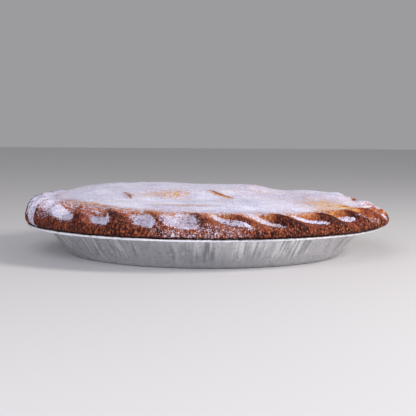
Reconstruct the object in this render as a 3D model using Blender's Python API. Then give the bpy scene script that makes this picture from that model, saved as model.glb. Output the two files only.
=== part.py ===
"""Covered apple pie in a shallow pressed foil plate.

The pie is one solid: bottom crust, filling and lid baked together, with a rope crimp round
its edge and steam slits in its lid. The plate is a second solid, a turned shell with a
sloping wall, a flat flange and a rolled bead. The origin is the centre of the plate's base,
+Z is up and -Y is the pie's front. Angles run from the front, growing towards +X.
"""
import math
import random

import bmesh
import bpy

MM = 0.001

# Foil plate
BASE_R = 85.8 * MM
WALL_TOP_R = 101.0 * MM
PLATE_RIM_R = 112.5 * MM
PLATE_DEPTH = 18.5 * MM
PLATE_SHEET = 0.4 * MM
BEAD_R = 0.8 * MM
CORNER_R = 1.2 * MM
CORNER_MIDDLE = 0.3
BEAD_START = -150
BEAD_END = 180
BEAD_STEPS = 7
PLATE_SIDES = 96

# How the pie sits in the plate
PIE_GAP = 0.3 * MM
CRUST_FOOT_Z = 19.9 * MM
FOOT_UNDER_R = 110.4 * MM
FLANGE_REST_R = 109.0 * MM
CRUST_SHIFT = 0.011

# Crimped edge: the crests in sight, in degrees; the rest of the round carries their rhythm on
CRIMP_COUNT = 26
CRESTS_IN_SIGHT = (-74, -64.5, -54, -41, -28, -14, -0.5, 11, 24.5, 40, 52.5, 66, 79.5, 99.5)
CRIMP_SEED = 43
CRIMP_DRIFT = 0.12
VALLEY_AT = 0.64
RIDGE_SHARPNESS = 1.5
SLANT_IN_CRIMPS = 0.65
HUMP_SPREAD = 0.7 * MM
EDGE_HEIGHT = 13.4 * MM
EDGE_HIGHER_LEFT = 2.1 * MM
EDGE_HIGHER_BACK = 1.0 * MM

# Sections of a crimp from the lid's edge down to the foot: radius in mm, share of the edge's height
LID_R = 96.0 * MM
RIDGE_SECTION = ((96.0, 1.00), (99.5, 1.04), (103.5, 1.04), (107.4, 0.97), (110.7, 0.83),
                 (113.0, 0.62), (114.3, 0.37), (114.6, 0.13), (113.4, 0.00))
HOLLOW_SECTION = ((96.0, 1.00), (98.0, 0.92), (100.0, 0.76), (102.8, 0.61), (106.6, 0.52),
                  (110.4, 0.46), (113.2, 0.35), (114.3, 0.14), (113.2, 0.00))

# Lid: a low dome with the filling's lumps showing through
DOME_TOP = 37.6 * MM
DOME_POWER = 2.4
EDGE_FADE_POWER = 24
# Each lump in mm: centre x and y, half length and half width, turn in degrees, height, sharpness
LUMPS = (
    (-23, 20, 69, 60, 0, 3.6, 8),
    (77, 16, 25, 44, 0, 2.7, 4),
    (92, 22, 10, 26, 0, 2.0, 3),
    (-2, 54, 20, 22, 0, -1.3, 3),
    (-21, -29, 15, 12, 4, 1.2, 6),
    (-20, -52, 20, 9, 3, -1.1, 4),
    (-64, -38, 20, 24, 30, 1.3, 3),
    (14, -30, 16, 14, -12, 0.9, 4),
    (44, -22, 14, 22, 10, -1.0, 3),
    (46, -58, 26, 13, 24, 1.1, 3),
    (-28, 34, 18, 24, 20, 0.8, 3),
    (28, 12, 16, 18, -30, 0.9, 3),
    (-62, 24, 16, 20, -10, 0.7, 3),
)

# Steam slits in mm: where each starts and ends, and how far its middle bows to the left
SLITS = (
    (-49, -34, -43.5, -51, 0.6),
    (2.5, -28.5, 17.5, -46, -1.6),
    (32, 48, 44, 64, 1.6),
    (-38, 50, -50, 66, -1.8),
)
SLIT_WIDTH = 2.2 * MM
SLIT_DEPTH = 3.0 * MM
SLIT_STATIONS = 7
SLIT_FLOOR_SHARE = 0.4
SLIT_TIP_SHARE = 0.15
SLIT_CLEAR_ABOVE = 6.0 * MM

# Faceting
COLUMNS_PER_CRIMP = 12
CRIMP_ROWS = 8
# Each ring of the lid: share of the lid's radius, and every how many columns it has a point
LID_RINGS = ((0.14, 8), (0.27, 8), (0.40, 8), (0.52, 4), (0.63, 4), (0.73, 4),
             (0.815, 2), (0.89, 2), (0.95, 2))


def crest_angles():
    """Angle of each crimp's crest, the hidden ones spaced like those in sight with a small drift."""
    seen = [math.radians(angle) for angle in CRESTS_IN_SIGHT]
    hidden_count = CRIMP_COUNT - len(seen)
    gap = (seen[0] + math.tau - seen[-1]) / (hidden_count + 1)
    draw = random.Random(CRIMP_SEED)
    drift = [draw.uniform(-CRIMP_DRIFT, CRIMP_DRIFT) for _ in range(hidden_count)]
    return seen + [seen[-1] + gap * (i + 1 + drift[i]) for i in range(hidden_count)]


def hump_heights():
    """How far each crimp stands above or below the edge's even height."""
    draw = random.Random(CRIMP_SEED + 1)
    return [draw.uniform(-HUMP_SPREAD, HUMP_SPREAD) for _ in range(CRIMP_COUNT)]


CRESTS = crest_angles()
HUMPS = hump_heights()


def edge_height(angle):
    """Height of the crimped edge above its foot, which leans: higher on the left and at the back."""
    return EDGE_HEIGHT - EDGE_HIGHER_LEFT * math.sin(angle) - EDGE_HIGHER_BACK * math.cos(angle)


def along(points, t):
    """Smooth curve through evenly stepped points, t from 0 to 1."""
    last = len(points) - 1
    step = min(max(t, 0.0), 1.0) * last
    i = min(int(step), last - 1)
    f = step - i
    around = (points[max(i - 1, 0)], points[i], points[i + 1], points[min(i + 2, last)])
    values = []
    for a, b, c, d in zip(*around):
        square = 2 * a - 5 * b + 4 * c - d
        cube = 3 * b - a - 3 * c + d
        values.append(b + 0.5 * (c - a) * f + 0.5 * square * f ** 2 + 0.5 * cube * f ** 3)
    return values


def ridge_weight(phase):
    """1 on a crest, 0 in a hollow: a long right-hand slope and a short steep left-hand face."""
    if phase < VALLEY_AT:
        wave = 0.5 + 0.5 * math.cos(math.pi * phase / VALLEY_AT)
    else:
        wave = 0.5 - 0.5 * math.cos(math.pi * (phase - VALLEY_AT) / (1 - VALLEY_AT))
    return wave ** RIDGE_SHARPNESS


def point_at(radius, angle, height):
    """Cylinder coordinates to x, y and z."""
    return (radius * math.sin(angle), -radius * math.cos(angle), height)


def column_angle(crimp, phase, t):
    """Angle of a column of the crimped edge; columns lean with the crimps from the lid to the foot."""
    start = CRESTS[crimp]
    end = CRESTS[(crimp + 1) % CRIMP_COUNT]
    pitch = (end - start) % math.tau
    return start + phase * pitch + SLANT_IN_CRIMPS * (t - 0.5) * math.tau / CRIMP_COUNT


def crimp_point(crimp, phase, t):
    """Point of the crimped edge: phase runs from one crest to the next, t from the lid to the foot."""
    angle = column_angle(crimp, phase, t)
    weight = ridge_weight(phase)
    ridge_r, ridge_h = along(RIDGE_SECTION, t)
    hollow_r, hollow_h = along(HOLLOW_SECTION, t)
    radius = (hollow_r + weight * (ridge_r - hollow_r)) * MM
    share = hollow_h + weight * (ridge_h - hollow_h)
    nearest = round(crimp + phase) % CRIMP_COUNT
    hump = HUMPS[nearest] * weight * math.sin(math.pi * t)
    height = CRUST_FOOT_Z + share * edge_height(angle) + hump
    return point_at(radius * (1 + CRUST_SHIFT * math.sin(angle)), angle, height)


def lump_height(x, y, lump):
    """Height that one flat-topped lump adds at x and y."""
    centre_x, centre_y, half_length, half_width, turn, height, sharpness = lump
    c = math.cos(math.radians(turn))
    s = math.sin(math.radians(turn))
    dx = x / MM - centre_x
    dy = y / MM - centre_y
    reach = math.hypot((c * dx + s * dy) / half_length, (c * dy - s * dx) / half_width)
    return height * MM * math.exp(-reach ** sharpness)


def lid_height(x, y):
    """Height of the lid: a dome from the crimped edge, plus the lumps, which die out at the edge."""
    share = min(math.hypot(x, y) / LID_R, 1.0)
    edge_z = CRUST_FOOT_Z + edge_height(math.atan2(x, -y))
    dome = edge_z + (DOME_TOP - edge_z) * (1 - share ** DOME_POWER)
    lumps = sum(lump_height(x, y, lump) for lump in LUMPS)
    return dome + lumps * (1 - share ** EDGE_FADE_POWER)


def crimp_ring(t):
    """All points of the crimped edge at one t."""
    return [crimp_point(crimp, column / COLUMNS_PER_CRIMP, t)
            for crimp in range(CRIMP_COUNT) for column in range(COLUMNS_PER_CRIMP)]


def column_angles(t):
    """Angles of all columns at one t."""
    return [column_angle(crimp, column / COLUMNS_PER_CRIMP, t)
            for crimp in range(CRIMP_COUNT) for column in range(COLUMNS_PER_CRIMP)]


def lid_ring(share, every):
    """Ring of the lid at a share of its radius, with one point for every few columns."""
    ring = []
    for angle in column_angles(0.0)[::every]:
        radius = share * LID_R * (1 + CRUST_SHIFT * math.sin(angle) * share)
        x, y, _ = point_at(radius, angle, 0.0)
        ring.append((x, y, lid_height(x, y)))
    return ring


def under_ring(radius, height, every):
    """Ring of the underside."""
    return [point_at(radius, angle, height) for angle in column_angles(1.0)[::every]]


def wall_radius(height, inset):
    """Radius of the plate's sloping wall at a height, moved inwards by an inset square to the wall."""
    run = WALL_TOP_R - BASE_R
    slant_length = math.hypot(run, PLATE_DEPTH)
    return BASE_R + height * run / PLATE_DEPTH - inset * slant_length / PLATE_DEPTH


def join_rings(bm, first, second):
    """Faces between two rings of points; a ring may have as many points as the other, half, or one."""
    if len(first) < len(second):
        first, second = second, first
    count = len(first)
    for i in range(count):
        a = first[i]
        b = first[(i + 1) % count]
        if len(second) == 1:
            bm.faces.new((a, b, second[0]))
        elif len(second) == count:
            bm.faces.new((a, b, second[(i + 1) % count], second[i]))
        elif i % 2 == 0:
            bm.faces.new((a, b, second[i // 2]))
        else:
            after = second[(i // 2 + 1) % len(second)]
            bm.faces.new((a, b, after))
            bm.faces.new((a, after, second[i // 2]))


def closed_solid(name, rings, material):
    """Solid through a chain of rings that starts and ends in a single point."""
    bm = bmesh.new()
    loops = [[bm.verts.new(point) for point in ring] for ring in rings]
    for first, second in zip(loops, loops[1:]):
        join_rings(bm, first, second)
    bmesh.ops.recalc_face_normals(bm, faces=bm.faces)
    mesh = bpy.data.meshes.new(name)
    bm.to_mesh(mesh)
    bm.free()
    mesh.materials.append(material)
    mesh.shade_smooth()
    body = bpy.data.objects.new(name, mesh)
    bpy.context.scene.collection.objects.link(body)
    return body


def make_material(name, colour, roughness, metallic):
    """Plain material with a colour, a roughness and a metallic value."""
    material = bpy.data.materials.new(name)
    material.use_nodes = True
    shader = material.node_tree.nodes["Principled BSDF"]
    shader.inputs["Base Color"].default_value = (*colour, 1.0)
    shader.inputs["Roughness"].default_value = roughness
    shader.inputs["Metallic"].default_value = metallic
    return material


def make_pie():
    """Bottom crust, filling and lid as one solid."""
    rings = [[(0.0, 0.0, lid_height(0.0, 0.0))]]
    rings += [lid_ring(share, every) for share, every in LID_RINGS]
    rings += [crimp_ring(row / CRIMP_ROWS) for row in range(CRIMP_ROWS + 1)]
    rest_z = PLATE_DEPTH + PIE_GAP
    floor_z = PLATE_SHEET + PIE_GAP
    wall_inset = PLATE_SHEET + PIE_GAP
    rings.append(under_ring(FOOT_UNDER_R, rest_z + BEAD_R, 2))
    rings.append(under_ring(FLANGE_REST_R, rest_z, 4))
    rings.append(under_ring(wall_radius(rest_z, wall_inset), rest_z, 4))
    rings.append(under_ring(wall_radius(CORNER_R + floor_z, wall_inset), CORNER_R + floor_z, 4))
    rings.append(under_ring(wall_radius(floor_z, wall_inset) - CORNER_R, floor_z, 4))
    rings.append([(0.0, 0.0, floor_z)])
    return closed_solid("pie", rings, make_material("baked_crust", (0.50, 0.27, 0.13), 0.75, 0.0))


def slit_stations(slit):
    """Middle and sideways direction of each station along a bowed slit, with its share of the width."""
    start_x, start_y, end_x, end_y, bow = [value * MM for value in slit]
    length = math.hypot(end_x - start_x, end_y - start_y)
    side_x = -(end_y - start_y) / length
    side_y = (end_x - start_x) / length
    stations = []
    for i in range(SLIT_STATIONS):
        s = i / (SLIT_STATIONS - 1)
        swell = math.sin(math.pi * s)
        x = start_x + s * (end_x - start_x) + bow * swell * side_x
        y = start_y + s * (end_y - start_y) + bow * swell * side_y
        stations.append((x, y, side_x, side_y, max(swell, SLIT_TIP_SHARE)))
    return stations


def add_slit(bm, slit):
    """Closed wedge with the slit's outline, from above the lid down to the slit's floor."""
    loops = []
    for x, y, side_x, side_y, swell in slit_stations(slit):
        surface = lid_height(x, y)
        half = 0.5 * SLIT_WIDTH * swell
        floor_half = half * SLIT_FLOOR_SHARE
        corners = ((-half, SLIT_CLEAR_ABOVE), (-floor_half, -SLIT_DEPTH * swell),
                   (floor_half, -SLIT_DEPTH * swell), (half, SLIT_CLEAR_ABOVE))
        loops.append([bm.verts.new((x + side_x * w, y + side_y * w, surface + h)) for w, h in corners])
    for first, second in zip(loops, loops[1:]):
        join_rings(bm, first, second)
    bm.faces.new(loops[0])
    bm.faces.new(reversed(loops[-1]))


def cut_slits(pie):
    """Cut the steam slits into the lid."""
    bm = bmesh.new()
    for slit in SLITS:
        add_slit(bm, slit)
    bmesh.ops.recalc_face_normals(bm, faces=bm.faces)
    mesh = bpy.data.meshes.new("slit_cutters")
    bm.to_mesh(mesh)
    bm.free()
    cutter = bpy.data.objects.new("slit_cutters", mesh)
    bpy.context.scene.collection.objects.link(cutter)
    cutter.hide_render = True
    cutter.display_type = "WIRE"
    cut = pie.modifiers.new("steam_slits", "BOOLEAN")
    cut.operation = "DIFFERENCE"
    cut.solver = "EXACT"
    cut.object = cutter


def arc(centre_r, centre_z, radius, start, end, steps):
    """Points of an arc in the plate's section, angles in degrees from the outward direction."""
    points = []
    for i in range(steps + 1):
        angle = math.radians(start + (end - start) * i / steps)
        points.append((centre_r + radius * math.cos(angle), centre_z + radius * math.sin(angle)))
    return points


def plate_section():
    """Section of the plate from under its base's centre, round the bead, to its base's centre again."""
    flange_z = PLATE_DEPTH - PLATE_SHEET
    bead_r = PLATE_RIM_R - BEAD_R
    inset = PLATE_SHEET
    corner = CORNER_MIDDLE * CORNER_R
    section = [(0.0, 0.0), (wall_radius(0.0, 0.0) - CORNER_R, 0.0)]
    section.append((wall_radius(corner, 0.0) - corner, corner))
    section.append((wall_radius(CORNER_R, 0.0), CORNER_R))
    section.append((wall_radius(flange_z, 0.0), flange_z))
    section += arc(bead_r, PLATE_DEPTH, BEAD_R, BEAD_START, BEAD_END, BEAD_STEPS)
    section.append((wall_radius(PLATE_DEPTH, inset), PLATE_DEPTH))
    section.append((wall_radius(CORNER_R + inset, inset), CORNER_R + inset))
    section.append((wall_radius(inset + corner, inset) - corner, inset + corner))
    section.append((wall_radius(inset, inset) - CORNER_R, inset))
    section.append((0.0, inset))
    return section


def make_plate():
    """Pressed foil plate, turned about the Z axis."""
    rings = []
    for radius, height in plate_section():
        sides = 1 if radius == 0.0 else PLATE_SIDES
        rings.append([point_at(radius, math.tau * i / PLATE_SIDES, height) for i in range(sides)])
    return closed_solid("foil_plate", rings, make_material("pressed_foil", (0.80, 0.80, 0.81), 0.28, 1.0))


def main():
    for existing in list(bpy.data.objects):
        bpy.data.objects.remove(existing)
    cut_slits(make_pie())
    make_plate()


main()
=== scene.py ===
"""Looks of a covered apple pie in its pressed foil plate.

The crust is one fine mesh from the same shape rules as the solid: a lumpy lid, a rope crimp
round the edge, and an underside that follows the plate. Geometry Nodes roughen it, scatter
sugar grains over it and press the pleats into the foil. Sizes in mm are multiplied by MM.
"""
import math
import random

import bmesh
import bpy
import numpy as np
from mathutils import Matrix, Vector


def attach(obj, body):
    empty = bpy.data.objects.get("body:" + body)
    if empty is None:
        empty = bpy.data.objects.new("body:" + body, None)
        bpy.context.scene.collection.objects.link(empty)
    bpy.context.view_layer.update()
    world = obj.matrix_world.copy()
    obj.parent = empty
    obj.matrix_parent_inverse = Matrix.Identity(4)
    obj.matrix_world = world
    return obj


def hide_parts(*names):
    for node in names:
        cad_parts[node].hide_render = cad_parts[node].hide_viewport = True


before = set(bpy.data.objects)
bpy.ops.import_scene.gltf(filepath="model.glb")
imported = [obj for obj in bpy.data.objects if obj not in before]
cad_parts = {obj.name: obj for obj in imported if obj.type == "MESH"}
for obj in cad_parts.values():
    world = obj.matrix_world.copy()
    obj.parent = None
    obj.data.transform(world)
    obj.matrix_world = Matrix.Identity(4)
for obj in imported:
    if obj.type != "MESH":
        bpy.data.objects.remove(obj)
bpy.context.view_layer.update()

MM = 0.001

# Camera: the photo's own, fitted to the plate's rim and base
CAMERA_AT = (0.0, -0.650, 0.0795)
CAMERA_DOWN = math.radians(4.6)
CAMERA_ROLL = math.radians(0.36)
CAMERA_LENS = 88.2
CAMERA_SENSOR = 36.0
CAMERA_SHIFT_X = 0.0076

# Foil plate
BASE_R = 85.8 * MM
WALL_TOP_R = 101.0 * MM
PLATE_RIM_R = 112.5 * MM
PLATE_DEPTH = 18.5 * MM
PLATE_SHEET = 0.4 * MM
BEAD_R = 0.8 * MM
CORNER_R = 1.2 * MM
PLATE_COLUMNS = 1200

# How the pie sits in the plate
PIE_GAP = 0.3 * MM
CRUST_FOOT_Z = 19.9 * MM
FOOT_UNDER_R = 110.4 * MM
FLANGE_REST_R = 109.0 * MM
CRUST_SHIFT = 0.011

# Crimped edge: the crests in sight, in degrees; the rest of the round carries their rhythm on
CRIMP_COUNT = 26
CRESTS_IN_SIGHT = (-74, -64.5, -54, -41, -28, -14, -0.5, 11, 24.5, 40, 52.5, 66, 79.5, 99.5)
CRIMP_SEED = 43
CRIMP_DRIFT = 0.12
VALLEY_AT = 0.64
RIDGE_SHARPNESS = 1.5
SLANT_IN_CRIMPS = 0.65
HUMP_SPREAD = 0.7 * MM
EDGE_HEIGHT = 13.4 * MM
EDGE_HIGHER_LEFT = 2.1 * MM
EDGE_HIGHER_BACK = 1.0 * MM

# Sections of a crimp from the lid's edge down to the foot: radius in mm, share of the edge's height
LID_R = 96.0 * MM
RIDGE_SECTION = ((96.0, 1.00), (99.5, 1.04), (103.5, 1.04), (107.4, 0.97), (110.7, 0.83),
                 (113.0, 0.62), (114.3, 0.37), (114.6, 0.13), (113.4, 0.00))
HOLLOW_SECTION = ((96.0, 1.00), (98.0, 0.92), (100.0, 0.76), (102.8, 0.61), (106.6, 0.52),
                  (110.4, 0.46), (113.2, 0.35), (114.3, 0.14), (113.2, 0.00))

# Lid: a low dome with the filling's lumps showing through
DOME_TOP = 37.6 * MM
DOME_POWER = 2.4
EDGE_FADE_POWER = 24
# Each lump in mm: centre x and y, half length and half width, turn in degrees, height, sharpness
LUMPS = (
    (-23, 20, 69, 60, 0, 3.6, 8),
    (77, 16, 25, 44, 0, 2.7, 4),
    (92, 22, 10, 26, 0, 2.0, 3),
    (-2, 54, 20, 22, 0, -1.3, 3),
    (-21, -29, 15, 12, 4, 1.2, 6),
    (-20, -52, 20, 9, 3, -1.1, 4),
    (-64, -38, 20, 24, 30, 1.3, 3),
    (14, -30, 16, 14, -12, 0.9, 4),
    (44, -22, 14, 22, 10, -1.0, 3),
    (46, -58, 26, 13, 24, 1.1, 3),
    (-28, 34, 18, 24, 20, 0.8, 3),
    (28, 12, 16, 18, -30, 0.9, 3),
    (-62, 24, 16, 20, -10, 0.7, 3),
)

# Steam slits in mm: where each starts and ends, and how far its middle bows to the left
SLITS = (
    (-49, -34, -43.5, -51, 0.6),
    (2.5, -28.5, 17.5, -46, -1.6),
    (32, 48, 44, 64, 1.6),
    (-38, 50, -50, 66, -1.8),
)
# A short gash in the same terms, near the lid's edge on the right
GASH = (80.5, -43.5, 88, -36, 0.4)
CUTS = SLITS + (GASH,)
SLIT_WIDTH = 2.3 * MM
SLIT_DEPTH = 2.4 * MM
SLIT_STATIONS = 15
SLIT_FLOOR_SHARE = 0.4
SLIT_TIP_SHARE = 0.15
SLIT_CLEAR_ABOVE = 4.0 * MM
SLIT_LIP_HEIGHT = 0.8 * MM
SLIT_LIP_REACH = 2.4 * MM
SLIT_EDGE = 0.25 * MM
# Share of the sugar missing at each cut, then the sugar and browning of the cut faces, and the painted
# shade that darkens them between two depths
SLIT_BARENESS = (0.38, 0.80, 0.60, 0.60, 0.90)
SLIT_INNER_SUGAR = 0.60
SLIT_INNER_BROWN = 0.34
SLIT_DEPTH_SHADE = (0.30, 0.2 * MM, 1.2 * MM)

# Places on the lid where the sugar lies thin, in mm: centre x and y, half length and half width,
# turn in degrees, share of the sugar that is missing there
THIN_SUGAR = (
    (-21, -37, 16, 10, 0, 0.37),
    (-41, -40, 8, 8, 0, 0.24),
    (-60, -58, 9, 8, 20, 0.20),
    (-12, -75, 20, 3.5, -4, 0.46),
    (52, -12, 40, 36, 0, 0.23),
    (75, -48, 24, 20, 46, 0.53),
    (70, -66, 9, 4, 40, 0.34),
    (-77, 14, 14, 16, 0, 0.18),
    (12, -46, 8, 5, -50, 0.26),
)

# Sugar lying in the hollow after each crest in sight: phase and t of its middle, how far it leans
# in phase for each t, its half width in phase, its half length in t, and how thick it lies
HOLLOW_SUGAR = (
    (0.36, 0.70, 1.2, 0.34, 0.34, 0.64),
    (0.30, 0.22, 0.6, 0.80, 0.33, 0.66),
    (0.24, 0.50, 0.7, 0.50, 0.18, 0.70),
    (0.66, 0.52, 0.2, 0.32, 0.17, 0.72),
    (0.70, 0.44, 0.3, 0.27, 0.25, 0.68),
    (0.53, 0.42, -0.1, 0.40, 0.31, 0.61),
    (0.72, 0.38, 0.8, 0.14, 0.31, 0.70),
    (0.62, 0.32, 0.3, 0.13, 0.35, 0.68),
    (0.64, 0.36, 0.7, 0.11, 0.22, 0.70),
    (0.74, 0.44, 0.4, 0.11, 0.14, 0.68),
    (0.24, 0.60, 1.6, 0.18, 0.12, 0.66),
    (0.55, 0.50, 0.8, 0.10, 0.16, 0.60),
    (0.60, 0.40, 0.4, 0.10, 0.18, 0.60),
    (0.60, 0.40, 0.4, 0.12, 0.20, 0.60),
)
# Dark browning past each crest in sight: how far it reaches in phase, how strong it is, and the t
# at which it begins
DARK_RIDGES = (
    (0.10, 0.6, 0.00),
    (0.10, 0.5, 0.00),
    (0.12, 0.4, 0.45),
    (0.20, 1.0, 0.38),
    (0.42, 1.2, 0.26),
    (0.24, 0.6, 0.24),
    (0.28, 0.7, 0.13),
    (0.32, 0.8, 0.18),
    (0.38, 1.35, 0.15),
    (0.36, 1.4, 0.14),
    (0.30, 1.2, 0.17),
    (0.20, 0.9, 0.10),
    (0.14, 0.4, 0.10),
    (0.12, 0.4, 0.10),
)
# Both on the hidden side, where each number lies between these two
HIDDEN_SUGAR = ((0.55, 0.34, 0.1, 0.13, 0.22, 0.60), (0.72, 0.46, 0.7, 0.26, 0.32, 0.72))
HIDDEN_DARK_RIDGES = ((0.16, 0.6, 0.05), (0.32, 1.1, 0.20))

# Fineness of the crust's mesh
COLUMNS_PER_CRIMP = 48
CRIMP_ROWS = 54
LID_STEP = 1.5 * MM
LID_POLE_R = 3.0 * MM
FINEST_COLUMN = 0.75 * MM


def srgb(code):
    """Linear colour from an sRGB hex value."""
    parts = [int(code[i:i + 2], 16) / 255 for i in (1, 3, 5)]
    return tuple(c / 12.92 if c <= 0.04045 else ((c + 0.055) / 1.055) ** 2.4 for c in parts) + (1.0,)


def add(tree, kind, inputs=None, **settings):
    """Adds a node with its settings; an input takes a value or another node's output."""
    made = tree.nodes.new(kind)
    for name, value in settings.items():
        setattr(made, name, value)
    for key, value in (inputs or {}).items():
        if isinstance(value, bpy.types.NodeSocket):
            tree.links.new(value, made.inputs[key])
        else:
            made.inputs[key].default_value = value
    return made


def smooth(low, high, value):
    """Smooth rise from 0 at low to 1 at high, which may lie either way round."""
    x = np.clip((value - low) / (high - low), 0.0, 1.0)
    return x * x * (3 - 2 * x)


def share_of(change, value):
    """How much of a change has come in at a value: its amount, between two values."""
    amount, low, high = change
    return amount * smooth(low, high, value)


# The pie's shape

def crest_angles():
    """Angle of each crimp's crest, the hidden ones spaced like those in sight with a small drift."""
    seen = [math.radians(angle) for angle in CRESTS_IN_SIGHT]
    hidden_count = CRIMP_COUNT - len(seen)
    gap = (seen[0] + math.tau - seen[-1]) / (hidden_count + 1)
    draw = random.Random(CRIMP_SEED)
    drift = [draw.uniform(-CRIMP_DRIFT, CRIMP_DRIFT) for _ in range(hidden_count)]
    return seen + [seen[-1] + gap * (i + 1 + drift[i]) for i in range(hidden_count)]


def hump_heights():
    """How far each crimp stands above or below the edge's even height."""
    draw = random.Random(CRIMP_SEED + 1)
    return [draw.uniform(-HUMP_SPREAD, HUMP_SPREAD) for _ in range(CRIMP_COUNT)]


CRESTS = np.array(crest_angles())
HUMPS = np.array(hump_heights())


def edge_height(angle):
    """Height of the crimped edge above its foot, which leans: higher on the left and at the back."""
    return EDGE_HEIGHT - EDGE_HIGHER_LEFT * np.sin(angle) - EDGE_HIGHER_BACK * np.cos(angle)


def along(points, t):
    """Smooth curve through evenly stepped points, t from 0 to 1."""
    last = len(points) - 1
    step = min(max(t, 0.0), 1.0) * last
    i = min(int(step), last - 1)
    f = step - i
    around = (points[max(i - 1, 0)], points[i], points[i + 1], points[min(i + 2, last)])
    values = []
    for a, b, c, d in zip(*around):
        square = 2 * a - 5 * b + 4 * c - d
        cube = 3 * b - a - 3 * c + d
        values.append(b + 0.5 * (c - a) * f + 0.5 * square * f ** 2 + 0.5 * cube * f ** 3)
    return values


def ridge_weight(phase):
    """1 on a crest, 0 in a hollow: a long right-hand slope and a short steep left-hand face."""
    falling = 0.5 + 0.5 * np.cos(math.pi * phase / VALLEY_AT)
    rising = 0.5 - 0.5 * np.cos(math.pi * (phase - VALLEY_AT) / (1 - VALLEY_AT))
    return np.where(phase < VALLEY_AT, falling, rising) ** RIDGE_SHARPNESS


def columns():
    """Crimp number and phase of every column of the crust's mesh."""
    steps = np.arange(CRIMP_COUNT * COLUMNS_PER_CRIMP)
    return steps // COLUMNS_PER_CRIMP, (steps % COLUMNS_PER_CRIMP) / COLUMNS_PER_CRIMP


def column_angles(t):
    """Angle of each column, which lean with the crimps from the lid, t = 0, to the foot, t = 1."""
    crimp, phase = columns()
    pitch = (np.roll(CRESTS, -1) - CRESTS) % math.tau
    return CRESTS[crimp] + phase * pitch[crimp] + SLANT_IN_CRIMPS * (t - 0.5) * math.tau / CRIMP_COUNT


def at_angle(radius, angle, height):
    """Points from cylinder coordinates."""
    radius, angle, height = np.broadcast_arrays(radius, angle, height)
    return np.stack([radius * np.sin(angle), -radius * np.cos(angle), height], axis=-1)


def crimp_ring(t):
    """Ring of the crimped edge at one t."""
    crimp, phase = columns()
    angle = column_angles(t)
    weight = ridge_weight(phase)
    ridge_r, ridge_h = along(RIDGE_SECTION, t)
    hollow_r, hollow_h = along(HOLLOW_SECTION, t)
    radius = (hollow_r + weight * (ridge_r - hollow_r)) * MM
    share = hollow_h + weight * (ridge_h - hollow_h)
    nearest = np.round(crimp + phase).astype(int) % CRIMP_COUNT
    hump = HUMPS[nearest] * weight * math.sin(math.pi * t)
    height = CRUST_FOOT_Z + share * edge_height(angle) + hump
    return at_angle(radius * (1 + CRUST_SHIFT * np.sin(angle)), angle, height)


def reach_of(x, y, spot):
    """Distance from an oval's centre as a share of its half width in that direction."""
    centre_x, centre_y, half_length, half_width, turn = spot
    c = math.cos(math.radians(turn))
    s = math.sin(math.radians(turn))
    dx = x / MM - centre_x
    dy = y / MM - centre_y
    return np.hypot((c * dx + s * dy) / half_length, (c * dy - s * dx) / half_width)


def slit_stations(slit):
    """Points along a bowed slit, its sideways direction and its share of full width at each point."""
    start_x, start_y, end_x, end_y, bow = [value * MM for value in slit]
    length = math.hypot(end_x - start_x, end_y - start_y)
    side = np.array([-(end_y - start_y), end_x - start_x]) / length
    s = np.linspace(0.0, 1.0, SLIT_STATIONS)
    middle = np.array([[start_x, start_y]]) + s[:, None] * np.array([[end_x - start_x, end_y - start_y]])
    return middle + bow * np.sin(math.pi * s)[:, None] * side, side, np.sin(math.pi * s)


def beside_cuts(x, y, amounts):
    """An amount for each cut along its middle, fading out at its ends and beside its lips."""
    most = np.zeros_like(x)
    for cut, amount in zip(CUTS, amounts):
        middle, _, swell = slit_stations(cut)
        away = np.hypot(x[..., None] - middle[:, 0], y[..., None] - middle[:, 1]) / SLIT_LIP_REACH
        most = np.maximum(most, (amount * swell * np.exp(-away ** 2)).max(axis=-1))
    return most


def slit_lips(x, y):
    """Small raised lips along the slits, where the pastry curled as it baked."""
    return beside_cuts(x, y, [SLIT_LIP_HEIGHT] * len(CUTS))


def lid_height(x, y):
    """Height of the lid: a dome from the crimped edge, plus the lumps, which die out at the edge."""
    share = np.minimum(np.hypot(x, y) / LID_R, 1.0)
    edge_z = CRUST_FOOT_Z + edge_height(np.arctan2(x, -y))
    dome = edge_z + (DOME_TOP - edge_z) * (1 - share ** DOME_POWER)
    lumps = sum(height * MM * np.exp(-reach_of(x, y, spot) ** sharpness)
                for *spot, height, sharpness in LUMPS)
    return dome + (lumps + slit_lips(x, y)) * (1 - share ** EDGE_FADE_POWER)


def lid_rings():
    """Rings of the lid from the crimped edge inwards, with fewer columns where they would crowd."""
    rings = []
    every = 2
    radius = LID_R - LID_STEP
    angles = column_angles(0.0)
    while radius > LID_POLE_R:
        if (len(angles) // every) % 2 == 0 and math.tau * radius * every / len(angles) < FINEST_COLUMN:
            every *= 2
        angle = angles[::every]
        share = radius / LID_R
        point = at_angle(radius * (1 + CRUST_SHIFT * np.sin(angle) * share), angle, 0.0)
        point[:, 2] = lid_height(point[:, 0], point[:, 1])
        rings.append(point)
        radius -= LID_STEP
    return rings


def wall_radius(height, inset):
    """Radius of the plate's sloping wall at a height, moved inwards by an inset square to the wall."""
    run = WALL_TOP_R - BASE_R
    slant_length = math.hypot(run, PLATE_DEPTH)
    return BASE_R + height * run / PLATE_DEPTH - inset * slant_length / PLATE_DEPTH


def under_rings():
    """Rings of the underside, from under the crust's foot down the plate's wall to its floor."""
    rest_z = PLATE_DEPTH + PIE_GAP
    floor_z = PLATE_SHEET + PIE_GAP
    inset = PLATE_SHEET + PIE_GAP
    angles = column_angles(1.0)
    levels = ((FOOT_UNDER_R, rest_z + BEAD_R, 2), (FLANGE_REST_R, rest_z, 4),
              (wall_radius(rest_z, inset), rest_z, 4),
              (wall_radius(CORNER_R + floor_z, inset), CORNER_R + floor_z, 4),
              (wall_radius(floor_z, inset) - CORNER_R, floor_z, 4))
    return [at_angle(radius, angles[::every], height) for radius, height, every in levels]


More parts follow.
